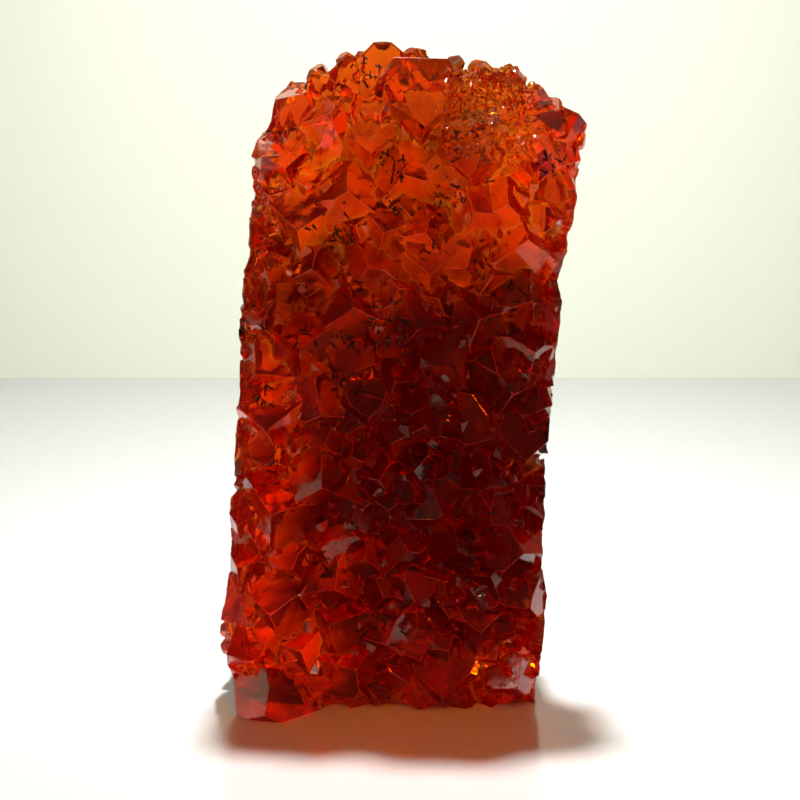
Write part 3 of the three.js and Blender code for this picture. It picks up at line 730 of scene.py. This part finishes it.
# ---- Chips: glassy hollows with the ripples of the blow ----
# place: x, z; across, deep: the hollow's size; turned: how far right and up its ripples' centre lies.
CHIPS = (
    dict(place=(6.5, 49.5), across=5.2, deep=1, turned=(0.5, 0.35)),
    dict(place=(-17.5, 51), across=3, deep=0.6, turned=(-0.3, 0.5)),
    dict(place=(12.5, 20), across=3.4, deep=0.6, turned=(0.2, -0.6)),
    dict(place=(-8, 30), across=2.6, deep=0.5, turned=(0.7, 0.2)),
    dict(place=(10, 78), across=3, deep=0.5, turned=(-0.5, 0.4)),
)
CHIP_SUBDIVISIONS = 5
CHIP_WAVE = 0.62  # between two ripples
CHIP_RISE = 0.045
CHIP_GLASSY = 0.2  # how broken a chip counts


def chip_cutter(tree, chip):
    """A rippled ball that leaves a dish of the chip's width and depth in the face it meets."""
    place, normal, _, _ = tree.ray_cast(*look_at_piece("front", *chip["place"]))
    half, deep = chip["across"] / 2, chip["deep"]
    radius = (half ** 2 + deep ** 2) / (2 * deep)
    bm = bmesh.new()
    add_layers(bm)
    bmesh.ops.create_icosphere(bm, subdivisions=CHIP_SUBDIVISIONS, radius=radius)
    facing = (normal + Vector((0, -1, 0))).normalized()
    side_a, side_b = chip["turned"]
    blow = (-facing + side_a * Vector((1, 0, 0)) + side_b * Vector((0, 0, 1))).normalized()
    for v in bm.verts:
        way = v.co.normalized()
        off = radius * way.angle(blow)
        v.co += way * CHIP_RISE * math.sin(2 * math.pi * off / CHIP_WAVE)
    bmesh.ops.translate(bm, vec=place + facing * (radius - deep), verts=bm.verts)
    mark(bm, bm.faces, "broken", CHIP_GLASSY)
    return bm


def chip_faces(body):
    tree = surface_of(body)
    for chip in CHIPS:
        combine(body, to_object(chip_cutter(tree, chip), "chip"), "DIFFERENCE")


# ---- The cluster ----
def grown_points(points, wear, steps, seed):
    """Each point as a solid of its own, its ridges worn, ready to be joined."""
    draw = make_draw(seed)
    for point in points:
        bm = grow(point)
        add_layers(bm)
        wear_ridges(bm, blend_between(*wear, draw()), steps)
        bmesh.ops.transform(bm, matrix=point.placing(), verts=bm.verts)
        mark(bm, bm.faces, "grain", draw())
        bmesh.ops.recalc_face_normals(bm, faces=bm.faces)
        yield bm


def make_cluster(node):
    body = mass_from_frame(node)
    join_all(body, grown_points(all_points(), RIDGE_WEAR, 2, SEED + 4))
    join_all(body, grown_points(fine_points(body), FINE_WEAR, 1, SEED + 5))
    chip_faces(body)
    combine(body, to_object(broken_walls(), "walls"), "INTERSECT")
    combine(body, to_object(frame_block(node), "block"), "INTERSECT")
    bm = bmesh.new()
    bm.from_mesh(body.data)
    refine_breaks(bm)
    roughen_breaks(bm)
    shade(bm)
    bmesh.ops.scale(bm, vec=(MM, MM, MM), verts=bm.verts)
    bm.to_mesh(body.data)
    bm.free()
    body.name = "citrine"
    return body


# ---- Dark needles that lie on the crystal faces, most of them in clusters ----
NEEDLE_SEED = 31
# place: x, z of the middle; reach: how far round it they lie; count: how many are tried.
NEEDLE_CLUSTERS = (
    dict(place=(-0.8, 87), reach=2.4, count=24), dict(place=(7.7, 81.5), reach=2.8, count=24),
    dict(place=(-1.5, 80.5), reach=2, count=14), dict(place=(-23.2, 62), reach=2.8, count=31),
    dict(place=(-8.5, 59.8), reach=2, count=17), dict(place=(-1.2, 62.3), reach=4, count=44),
    dict(place=(-14, 59.8), reach=2.2, count=17), dict(place=(-8.5, 76), reach=2, count=14),
    dict(place=(12.4, 71.5), reach=2.4, count=17), dict(place=(-21.4, 51.3), reach=2.4, count=20),
    dict(place=(-19.4, 40), reach=2.4, count=17), dict(place=(-9.3, 54), reach=2.2, count=17),
    dict(place=(-5.4, 101), reach=2.4, count=15), dict(place=(23.5, 86.5), reach=2.4, count=24),
    dict(place=(17, 66), reach=2.6, count=17), dict(place=(6, 40), reach=4, count=27),
    dict(place=(-14, 26), reach=3, count=17), dict(place=(12, 28), reach=4, count=20),
    dict(place=(-3, 14), reach=4, count=20), dict(place=(19, 52), reach=3, count=14),
    dict(place=(0, 70), reach=20, count=64), dict(place=(0, 35), reach=20, count=50),
)
NEEDLE_LENGTH = (0.35, 1.8)
NEEDLE_RADIUS = (0.12, 0.23)
NEEDLE_SIDES = 5
NEEDLE_TAPER = 0.6
NEEDLE_FLOOR = 2  # none lies lower
NEEDLE_FACING = -0.4  # and none on a face that turns further from the front: its normal's y


def make_needles(body):
    """Short dark rods that lie flat on the crystal faces and across their seams."""
    draw = make_draw(NEEDLE_SEED)
    tree = surface_of(body)
    lying = Quaternion((0, 1, 0), math.pi / 2)
    needles = bmesh.new()
    for cluster in NEEDLE_CLUSTERS:
        x, z = cluster["place"]
        for _ in range(cluster["count"]):
            reach = cluster["reach"] * math.sqrt(draw())
            way = 2 * math.pi * draw()
            length = blend_between(*NEEDLE_LENGTH, draw() ** 2)
            radius = blend_between(*NEEDLE_RADIUS, draw())
            turned = Quaternion((0, 0, 1), 2 * math.pi * draw())
            start, ahead = look_at_piece("front", x + reach * math.cos(way), z + reach * math.sin(way))
            place, normal, _, _ = tree.ray_cast(start * MM, ahead)
            if not place or place.z < NEEDLE_FLOOR * MM or normal.y > NEEDLE_FACING:
                continue
            turn = normal.to_track_quat("Z", "Y") @ turned @ lying
            bmesh.ops.create_cone(
                needles, cap_ends=True, segments=NEEDLE_SIDES, radius1=radius,
                radius2=NEEDLE_TAPER * radius, depth=length,
                matrix=Matrix.Translation(place / MM) @ turn.to_matrix().to_4x4(),
            )
    bmesh.ops.scale(needles, vec=(MM, MM, MM), verts=needles.verts)
    return to_object(needles, "dark_needles")


# ---- Finishes: colours, shares, and places and sizes in metres ----
CLEAR_IOR = 1.544
CLEARNESS = 0.96
TINT = (0.984, 0.74, 0.3, 1)  # the nearer to 1, the less of that colour the quartz takes out
TINT_DENSITY = 320
GLOSS_LEVEL = 0.14
GLOSS_TINT = (1, 0.72, 0.55, 1)
MOTTLE_DETAIL = 3
FLANK_RED = (0.42, 0.015, 0.002, 1)
# Painted light: the left column is painted a brighter red, as if lit from the left.
PAINTED_GLOW_RED = (0.95, 0.05, 0.005, 1)
PAINTED_GLOW_ACROSS = (-0.007, -0.016)  # the painted glow of the left column, full on from the second x
PAINTED_GLOW_UP_TO = (0.062, 0.045)  # its glow ends at the first height, and is full below the second
# Painted light: the crown is painted orange and its top gold, as if lit from above and behind.
CROWN_PAINTED_LIGHT = (1, 0.085, 0.006, 1)
CROWN_LIGHT_RISE = (0.062, 0.092)  # heights between which the painted light turns red to orange
TOP_PAINTED_LIGHT = (1, 0.26, 0.02, 1)
TOP_LIGHT_RISE = (0.093, 0.104)
# Painted glow: the druse patch is painted a brighter gold.
DRUSE_PAINTED_GLOW = (1, 0.42, 0.06, 1)
DRUSE_CENTRE = (0.0135, -0.006, 0.094)
DRUSE_REACH = (0.0095, 0.0057)  # where the druse starts, going in, and where it is full
DRUSE_GLOW_SHARE = 0.8
SEAM_OLIVE = (1, 0.72, 0.13, 1)
SEAM_WIDTH = 0.0009
SEAM_SHADE = (0.9, 0.55)  # how open a place is where a seam starts, and where it is full
BREAK_HONEY = (0.92, 0.5, 0.2, 1)
# Painted shade: the heart, low in the middle, is painted a dark maroon.
HEART_PAINTED_SHADE = (0.05, 0.0015, 0.0015, 1)
PAINTED_SHADE_CENTRE = (0.003, 0, 0.033)
PAINTED_SHADE_REACH = (0.022, 0.05, 0.05)
PAINTED_SHADE_BLUR = (1.5, 0.6)  # where the painted shade starts and where it is full, in reaches
PAINTED_SHADE_CLOUD = (0.3, 0.7, -0.35, 0.35)  # the mottle that shifts its edge, and by how many reaches
CLOUD_SIZE = 0.014
OLIVE_BROWN = (0.6, 0.13, 0.008, 1)
OLIVE_POINTS = (0.72, 0.82, 0, 0.75)  # the points' tones that turn olive, and how far
OLIVE_RISE = (0.062, 0.085)
POINT_VALUES = (0.75, 1.15)  # how much darker or brighter single points are
# Painted highlight: a pale colour on the worn ridges, standing in for thin light lines.
RIDGE_PAINTED_HIGHLIGHT = (1, 0.3, 0.06, 1)
HILLOCK_SIZE = 0.0012
HACKLE_GRAIN = 0.0009
HACKLE_DETAIL = 4
HACKLE_SWIRL = 1.5
DRUSE_GRAIN = 0.0008
HILLOCK_RISE = 0.012  # these two in millimetres: relief that is too fine to model
HACKLE_RISE = 0.06
DRUSE_RISE = 0.45  # how steeply its grains tilt
FILM_SIZE = 0.004  # patches of duller surface
FILM_EDGE = (0.35, 0.65)
FACE_ROUGHNESS = (0.04, 0.1)
BREAK_ROUGHNESS = (0.12, 0.45)
RIDGE_ROUGHNESS = 0.09
NEEDLE_BLACK = (0.006, 0.004, 0.004, 1)
NEEDLE_RUST = (0.05, 0.012, 0.004, 1)
NEEDLE_ROUGHNESS = (0.45, 0.8)
RUST_SIZE = 0.002
RUST_EDGE = (0.55, 0.75)
MIX_INPUTS = (0, 6, 7)  # the sockets of a Mix node of colours: share, from, to
MIX_OUTPUT = 2


class Finish:
    """A material in the making: its nodes are added and wired one by one."""

    def __init__(self, name):
        self.material = bpy.data.materials.new(name)
        self.material.use_nodes = True
        self.nodes = self.material.node_tree.nodes
        self.links = self.material.node_tree.links
        self.shader = self.nodes["Principled BSDF"]

    def feed(self, socket, value):
        if isinstance(value, bpy.types.NodeSocket):
            self.links.new(value, socket)
        else:
            socket.default_value = value

    def node(self, kind, settings=(), **inputs):
        made = self.nodes.new("ShaderNode" + kind)
        for name, value in dict(settings).items():
            setattr(made, name, value)
        for name, value in inputs.items():
            self.feed(made.inputs[name.replace("_", " ")], value)
        return made

    def attribute(self, name):
        return self.node("Attribute", {"attribute_name": name}).outputs["Fac"]

    def mottle(self, place, size, detail=2, distortion=0):
        made = self.node("TexNoise", Vector=place, Scale=1 / size, Detail=detail, Distortion=distortion)
        return made.outputs["Fac"]

    def ramp(self, value, low, high, to_low=0, to_high=1):
        made = self.node("MapRange", {"interpolation_type": "SMOOTHSTEP"}, Value=value, From_Min=low,
                         From_Max=high, To_Min=to_low, To_Max=to_high)
        return made.outputs["Result"]

    def maths(self, operation, a, b):
        made = self.node("Math", {"operation": operation})
        self.feed(made.inputs[0], a)
        self.feed(made.inputs[1], b)
        return made.outputs["Value"]

    def vectors(self, operation, a, b=(0, 0, 0)):
        made = self.node("VectorMath", {"operation": operation})
        self.feed(made.inputs[0], a)
        self.feed(made.inputs[1], b)
        return next(out for out in made.outputs if out.enabled)

    def blend(self, share, a, b):
        """A number that goes from a to b."""
        made = self.node("Mix", Factor=share)
        self.feed(made.inputs["A"], a)
        self.feed(made.inputs["B"], b)
        return made.outputs["Result"]

    def colours(self, share, a, b):
        """A colour that goes from a to b."""
        made = self.node("Mix", {"data_type": "RGBA"})
        for socket, value in zip(MIX_INPUTS, (share, a, b)):
            self.feed(made.inputs[socket], value)
        return made.outputs[MIX_OUTPUT]


def quartz_colour(finish, place, broken, worn, druse):
    """Colour with painted light by side, height and druse, then seam, break, painted shade, single point
    and ridge highlight.
    """
    parts = finish.node("SeparateXYZ", Vector=place)
    across, height = parts.outputs["X"], parts.outputs["Z"]
    unbroken = finish.maths("SUBTRACT", 1, broken)
    grain = finish.attribute("grain")

    # Painted light: the left column is painted brighter red, as if lit from the left.
    glow = finish.maths("MULTIPLY", finish.ramp(across, *PAINTED_GLOW_ACROSS), finish.ramp(height, *PAINTED_GLOW_UP_TO))
    colour = finish.colours(glow, FLANK_RED, PAINTED_GLOW_RED)
    # Painted light: higher up, the quartz is painted orange and then gold at the top, as if lit from
    # above and behind.
    colour = finish.colours(finish.ramp(height, *CROWN_LIGHT_RISE), colour, CROWN_PAINTED_LIGHT)
    colour = finish.colours(finish.ramp(height, *TOP_LIGHT_RISE), colour, TOP_PAINTED_LIGHT)
    # Painted glow: the druse patch is painted a brighter gold.
    colour = finish.colours(finish.maths("MULTIPLY", druse, DRUSE_GLOW_SHARE), colour, DRUSE_PAINTED_GLOW)

    openness = finish.node("AmbientOcclusion", {"only_local": True, "samples": 1}, Distance=SEAM_WIDTH)
    seam = finish.ramp(openness.outputs["AO"], *SEAM_SHADE)
    colour = finish.colours(finish.maths("MULTIPLY", seam, unbroken), colour, SEAM_OLIVE)
    colour = finish.colours(broken, colour, BREAK_HONEY)

    # Painted shade: the heart, low in the middle, is painted a dark maroon.
    centred = finish.node("Mapping", {"vector_type": "TEXTURE"}, Vector=place, Location=PAINTED_SHADE_CENTRE,
                          Scale=PAINTED_SHADE_REACH)
    reach = finish.vectors("LENGTH", centred.outputs["Vector"])
    cloud = finish.ramp(finish.mottle(place, CLOUD_SIZE, MOTTLE_DETAIL), *PAINTED_SHADE_CLOUD)
    painted_shade = finish.ramp(finish.maths("ADD", reach, cloud), *PAINTED_SHADE_BLUR)
    colour = finish.colours(painted_shade, colour, HEART_PAINTED_SHADE)

    olive = finish.maths("MULTIPLY", finish.ramp(grain, *OLIVE_POINTS), finish.ramp(height, *OLIVE_RISE))
    colour = finish.colours(finish.maths("MULTIPLY", olive, unbroken), colour, OLIVE_BROWN)
    toned = finish.node("HueSaturation", Color=colour, Value=finish.ramp(grain, 0, 1, *POINT_VALUES))
    # The worn ridges are painted pale as highlight lines, and dark red inside the painted shade.
    ridge_highlight = finish.colours(painted_shade, RIDGE_PAINTED_HIGHLIGHT, FLANK_RED)
    return finish.colours(worn, toned.outputs["Color"], ridge_highlight)


def quartz_relief(finish, place, broken, druse):
    """Growth hillocks on the faces, hackle on the breaks and tilted grains in the druse."""
    hillocks = finish.maths("MULTIPLY", finish.mottle(place, HILLOCK_SIZE, MOTTLE_DETAIL), HILLOCK_RISE)
    hackle = finish.mottle(place, HACKLE_GRAIN, HACKLE_DETAIL, HACKLE_SWIRL)
    relief = finish.blend(broken, hillocks, finish.maths("MULTIPLY", hackle, HACKLE_RISE))
    cells = finish.node("TexVoronoi", Vector=place, Scale=1 / DRUSE_GRAIN)
    off = finish.vectors("SUBTRACT", place, cells.outputs["Position"])
    tilt = finish.vectors("SUBTRACT", cells.outputs["Color"], (0.5, 0.5, 0.5))
    grains = finish.maths("MULTIPLY", finish.vectors("DOT_PRODUCT", off, tilt), druse)
    grains = finish.maths("MULTIPLY", grains, DRUSE_RISE / MM)
    bump = finish.node("Bump", Height=finish.maths("ADD", relief, grains), Distance=MM, Strength=1)
    return bump.outputs["Normal"]


def citrine_finish():
    finish = Finish("citrine")
    finish.feed(finish.shader.inputs["Transmission Weight"], CLEARNESS)
    finish.feed(finish.shader.inputs["Specular Tint"], GLOSS_TINT)
    finish.feed(finish.shader.inputs["IOR"], CLEAR_IOR)
    finish.feed(finish.shader.inputs["Specular IOR Level"], GLOSS_LEVEL)
    tint = finish.node("VolumeAbsorption", Color=TINT, Density=TINT_DENSITY)
    finish.feed(finish.nodes["Material Output"].inputs["Volume"], tint.outputs["Volume"])

    place = finish.node("TexCoord").outputs["Object"]
    broken = finish.attribute("broken")
    worn = finish.attribute("worn")
    druse = finish.ramp(finish.vectors("DISTANCE", place, DRUSE_CENTRE), *DRUSE_REACH)
    finish.feed(finish.shader.inputs["Base Color"], quartz_colour(finish, place, broken, worn, druse))
    finish.feed(finish.shader.inputs["Normal"], quartz_relief(finish, place, broken, druse))

    film = finish.ramp(finish.mottle(place, FILM_SIZE, MOTTLE_DETAIL), *FILM_EDGE)
    on_face, on_break = finish.blend(film, *FACE_ROUGHNESS), finish.blend(film, *BREAK_ROUGHNESS)
    rough = finish.blend(worn, finish.blend(broken, on_face, on_break), RIDGE_ROUGHNESS)
    finish.feed(finish.shader.inputs["Roughness"], rough)
    return finish.material


def needle_finish():
    """Iron-black needles, rusty where they have weathered."""
    finish = Finish("dark needles")
    place = finish.node("TexCoord").outputs["Object"]
    rust = finish.ramp(finish.mottle(place, RUST_SIZE), *RUST_EDGE)
    finish.feed(finish.shader.inputs["Base Color"], finish.colours(rust, NEEDLE_BLACK, NEEDLE_RUST))
    finish.feed(finish.shader.inputs["Roughness"], finish.blend(rust, *NEEDLE_ROUGHNESS))
    finish.feed(finish.shader.inputs["Specular IOR Level"], GLOSS_LEVEL)
    return finish.material


def plain_finish(name, colour, roughness):
    finish = Finish(name)
    finish.feed(finish.shader.inputs["Base Color"], colour)
    finish.feed(finish.shader.inputs["Roughness"], roughness)
    return finish.material


# ---- Stage, light and camera, in metres ----
CAMERA_TARGET = Vector((0, 0, 0.04825))
CAMERA_DISTANCE = 0.3
CAMERA_PITCH = math.radians(12)
CAMERA_LENS = 83.65
CAMERA_CLIP = 0.01
WALL_AT = 0.26
STAGE_REACH = 1.2
FLOOR_GAP = 0.0002  # the foot stands this hair over the floor, as on its own dust
FLOOR_COLOUR = (0.25, 0.25, 0.245, 1)
FLOOR_ROUGHNESS = 0.16
WALL_COLOUR = (0.74, 0.765, 0.62, 1)
WALL_ROUGHNESS = 0.8
LIGHT_BOUNCES = 8


def aim(made, target):
    made.rotation_euler = (target - made.location).to_track_quat("-Z", "Y").to_euler()


def add_camera():
    camera = bpy.data.objects.new("camera", bpy.data.cameras.new("camera"))
    bpy.context.scene.collection.objects.link(camera)
    camera.data.lens = CAMERA_LENS
    camera.data.clip_start = CAMERA_CLIP
    away = Vector((0, -math.cos(CAMERA_PITCH), math.sin(CAMERA_PITCH)))
    camera.location = CAMERA_TARGET + CAMERA_DISTANCE * away
    aim(camera, CAMERA_TARGET)
    bpy.context.scene.camera = camera


def add_board(name, corners, material):
    bm = bmesh.new()
    bm.faces.new([bm.verts.new(corner) for corner in corners])
    board = to_object(bm, name)
    board.data.materials.append(material)


def add_stage():
    reach, low = STAGE_REACH, -FLOOR_GAP
    floor = ((-reach, -reach, low), (reach, -reach, low), (reach, WALL_AT, low), (-reach, WALL_AT, low))
    wall = (floor[3], floor[2], (reach, WALL_AT, reach), (-reach, WALL_AT, reach))
    add_board("floor", floor, plain_finish("floor", FLOOR_COLOUR, FLOOR_ROUGHNESS))
    add_board("wall", wall, plain_finish("wall", WALL_COLOUR, WALL_ROUGHNESS))


WHITE = (1, 1, 1)
LAMPS = (
    dict(name="lamp over the back", place=(0.01, 0.1, 0.5), target=(0.01, 0.04, 0),
         size=0.04, watts=3, spread=90, colour=WHITE),
    dict(name="window to the left", place=(-0.95, -0.98, 1.07), target=(0, 0, 0.05),
         size=0.055, watts=2.6, spread=180, colour=WHITE),
    dict(name="lamp over the far floor", place=(0.75, -0.72, 1.2), target=(0.75, -0.72, 0),
         size=0.3, watts=25, spread=60, colour=WHITE),
    dict(name="lamp over the floor to the left", place=(-1, -0.25, 1.2), target=(-1, -0.25, 0),
         size=0.3, watts=25, spread=60, colour=WHITE),
    dict(name="warm glow in front", place=(0.03, -0.3, 0.42), target=(0, -0.03, 0),
         size=0.05, watts=0.023, spread=14, colour=(1, 0.15, 0)),
)
ROOM_COLOUR = (1, 0.93, 0.82, 1)
ROOM_LIGHT = 0.06  # what the dim room gives the surfaces
ROOM_SEEN = 0.6  # and what is seen of it, bare
ROOM_THROUGH = 2.2  # or through the quartz


def add_lamps():
    for lamp in LAMPS:
        light = bpy.data.lights.new(lamp["name"], "AREA")
        light.shape = "DISK"
        light.size = lamp["size"]
        light.energy = lamp["watts"]
        light.spread = math.radians(lamp["spread"])
        light.color = lamp["colour"]
        made = bpy.data.objects.new(lamp["name"], light)
        bpy.context.scene.collection.objects.link(made)
        made.location = lamp["place"]
        aim(made, Vector(lamp["target"]))


def add_room():
    """A dim room round the piece, brighter where it is seen bare or through the quartz."""
    world = bpy.data.worlds.new("room")
    world.use_nodes = True
    nodes = world.node_tree.nodes
    room = nodes["Background"]
    room.inputs["Color"].default_value = ROOM_COLOUR
    ray = nodes.new("ShaderNodeLightPath")
    strength = None
    for seen, light in (("Is Camera Ray", ROOM_SEEN), ("Is Transmission Ray", ROOM_THROUGH)):
        choice = nodes.new("ShaderNodeMix")
        choice.inputs["A"].default_value = ROOM_LIGHT
        choice.inputs["B"].default_value = light
        world.node_tree.links.new(ray.outputs[seen], choice.inputs["Factor"])
        if strength:
            world.node_tree.links.new(strength, choice.inputs["A"])
        strength = choice.outputs["Result"]
    world.node_tree.links.new(strength, room.inputs["Strength"])
    bpy.context.scene.world = world


# ---- Making it all ----
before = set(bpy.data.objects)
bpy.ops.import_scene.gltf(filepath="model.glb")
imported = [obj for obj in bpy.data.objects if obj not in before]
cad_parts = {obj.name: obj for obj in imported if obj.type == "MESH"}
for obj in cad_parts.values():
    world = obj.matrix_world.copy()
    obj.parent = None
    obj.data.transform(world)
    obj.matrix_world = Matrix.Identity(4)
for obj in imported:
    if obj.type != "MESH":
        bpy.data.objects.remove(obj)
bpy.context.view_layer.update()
add_camera()
add_stage()
add_lamps()
add_room()
scene = bpy.context.scene
scene.view_settings.view_transform = "Standard"
scene.cycles.max_bounces = LIGHT_BOUNCES
scene.cycles.transmission_bounces = LIGHT_BOUNCES
scene.cycles.glossy_bounces = LIGHT_BOUNCES

citrine = make_cluster(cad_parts[NODE])
citrine.data.materials.clear()
citrine.data.materials.append(citrine_finish())
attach(citrine, "root")
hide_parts(NODE)
needles = make_needles(citrine)
needles.data.materials.append(needle_finish())
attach(needles, "root")
